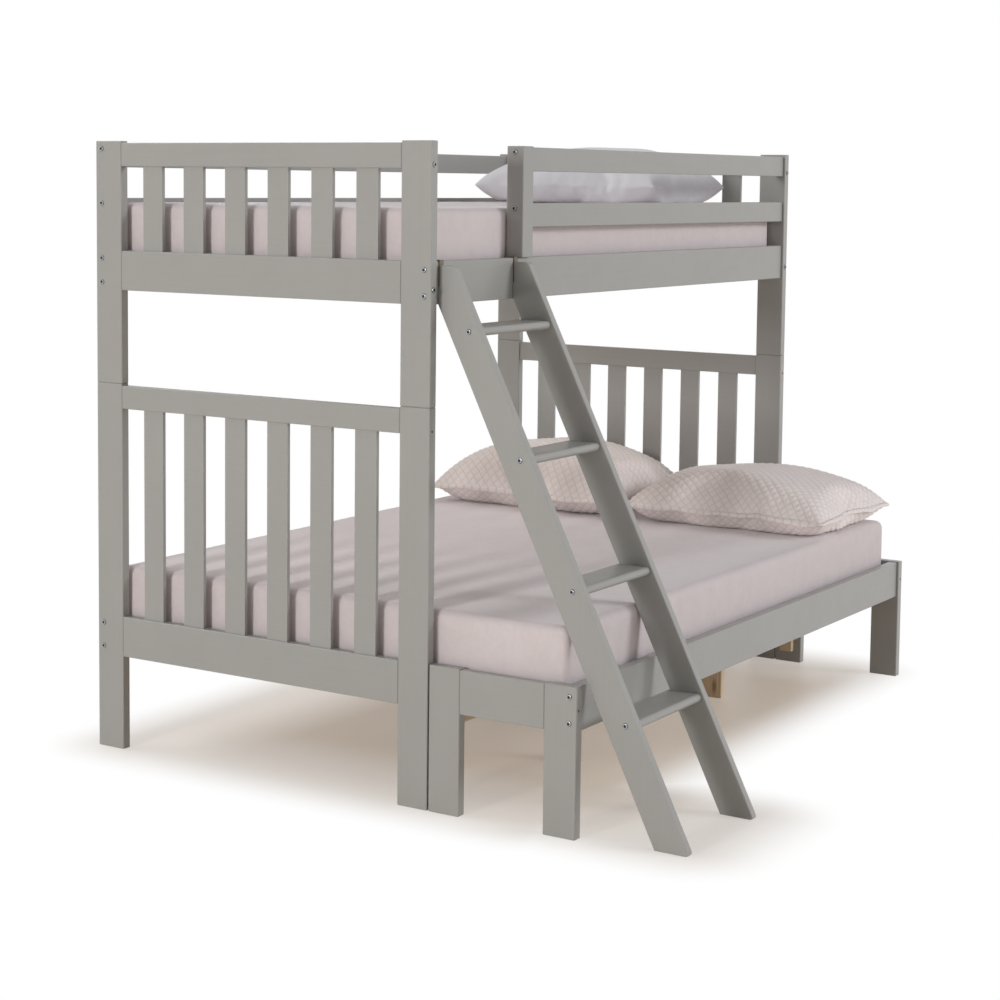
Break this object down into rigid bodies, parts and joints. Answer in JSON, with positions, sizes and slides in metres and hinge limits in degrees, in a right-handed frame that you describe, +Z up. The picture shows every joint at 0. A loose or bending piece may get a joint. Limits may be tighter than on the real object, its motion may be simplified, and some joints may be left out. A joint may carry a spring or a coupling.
{
  "type": "bunk bed with ladder",
  "caption": "Painted wooden bunk bed: a slatted twin bunk with guard rails stands on a wider low bed with end panels, a leaning hook-on ladder, mattresses and pillows.",
  "frame": {"origin": "the middle of the bed's footprint on the floor, ladder included", "axes": "+X from the foot end to the head end along the bed, +Y from the ladder side to the wall side, +Z up"},
  "size_m": [1.99, 1.7282, 1.6086],
  "materials": {
    "grey_paint": "satin dove grey paint on wood",
    "raw_pine": "raw planed pine",
    "greige_sheet": "smooth fitted cotton sheet",
    "white_cotton": "plain cotton pillowcase",
    "quilted_greige": "quilted cotton",
    "steel": "zinc-plated",
    "yellow_zinc": "yellow zinc-plated steel strap"
  },
  "bodies": {
    "lower_bed": {"beam_cleat_foot": "raw_pine", "beam_cleat_head": "raw_pine", "centre_beam": "raw_pine", "centre_leg_foot": "raw_pine", "centre_leg_head": "raw_pine", "extension_foot_inner_post": "grey_paint", "extension_foot_outer_post": "grey_paint", "extension_foot_rail": "grey_paint", "extension_head_inner_post": "grey_paint", "extension_head_outer_post": "grey_paint", "extension_head_rail": "grey_paint", "extension_slat_roll": "raw_pine", "lower_back_side_rail": "grey_paint", "lower_foot_back_post": "grey_paint", "lower_foot_bottom_rail": "grey_paint", "lower_foot_front_post": "grey_paint", "lower_foot_slats": "grey_paint", "lower_foot_top_rail": "grey_paint", "lower_front_side_rail": "grey_paint", "lower_head_back_post": "grey_paint", "lower_head_bottom_rail": "grey_paint", "lower_head_front_post": "grey_paint", "lower_head_slats": "grey_paint", "lower_head_top_rail": "grey_paint", "lower_mattress": "greige_sheet", "lower_slat_roll": "raw_pine", "stacking_pin_foot_back": "steel", "stacking_pin_foot_front": "steel", "stacking_pin_head_back": "steel", "stacking_pin_head_front": "steel"},
    "upper_bunk": {"back_guard_low_rail": "grey_paint", "back_guard_top_rail": "grey_paint", "front_guard_low_rail": "grey_paint", "front_guard_post": "grey_paint", "front_guard_top_rail": "grey_paint", "upper_back_side_rail": "grey_paint", "upper_foot_back_post": "grey_paint", "upper_foot_bottom_rail": "grey_paint", "upper_foot_front_post": "grey_paint", "upper_foot_slats": "grey_paint", "upper_foot_top_rail": "grey_paint", "upper_front_side_rail": "grey_paint", "upper_head_back_post": "grey_paint", "upper_head_bottom_rail": "grey_paint", "upper_head_front_post": "grey_paint", "upper_head_slats": "grey_paint", "upper_head_top_rail": "grey_paint", "upper_slat_roll": "raw_pine"},
    "ladder": {"ladder_hook_foot": "yellow_zinc", "ladder_hook_head": "yellow_zinc", "ladder_stringer_foot": "grey_paint", "ladder_stringer_head": "grey_paint", "ladder_tread_1": "grey_paint", "ladder_tread_2": "grey_paint", "ladder_tread_3": "grey_paint", "ladder_tread_4": "grey_paint"},
    "upper_mattress": {"upper_mattress": "greige_sheet"},
    "upper_pillow": {"upper_pillow": "white_cotton"},
    "lower_pillow_near": {"lower_pillow_near": "quilted_greige"},
    "lower_pillow_far": {"lower_pillow_far": "quilted_greige"}
  },
  "joints": [
    {"name": "upper_bunk_lift", "type": "slide", "parent": "lower_bed", "child": "upper_bunk", "axis": [0, 0, 1], "range_m": [0, 0.15]},
    {"name": "ladder_unhook", "type": "slide", "parent": "upper_bunk", "child": "ladder", "axis": [0, 0, 1], "range_m": [0, 0.06]},
    {"name": "upper_mattress_lift", "type": "slide", "parent": "upper_bunk", "child": "upper_mattress", "axis": [0, 0, 1], "range_m": [0, 0.36]},
    {"name": "upper_pillow_lift", "type": "slide", "parent": "upper_mattress", "child": "upper_pillow", "axis": [0, 0, 1], "range_m": [0, 0.2]},
    {"name": "near_pillow_lift", "type": "slide", "parent": "lower_bed", "child": "lower_pillow_near", "axis": [0, 0, 1], "range_m": [0, 0.3]},
    {"name": "far_pillow_lift", "type": "slide", "parent": "lower_bed", "child": "lower_pillow_far", "axis": [0, 0, 1], "range_m": [0, 0.3]}
  ]
}
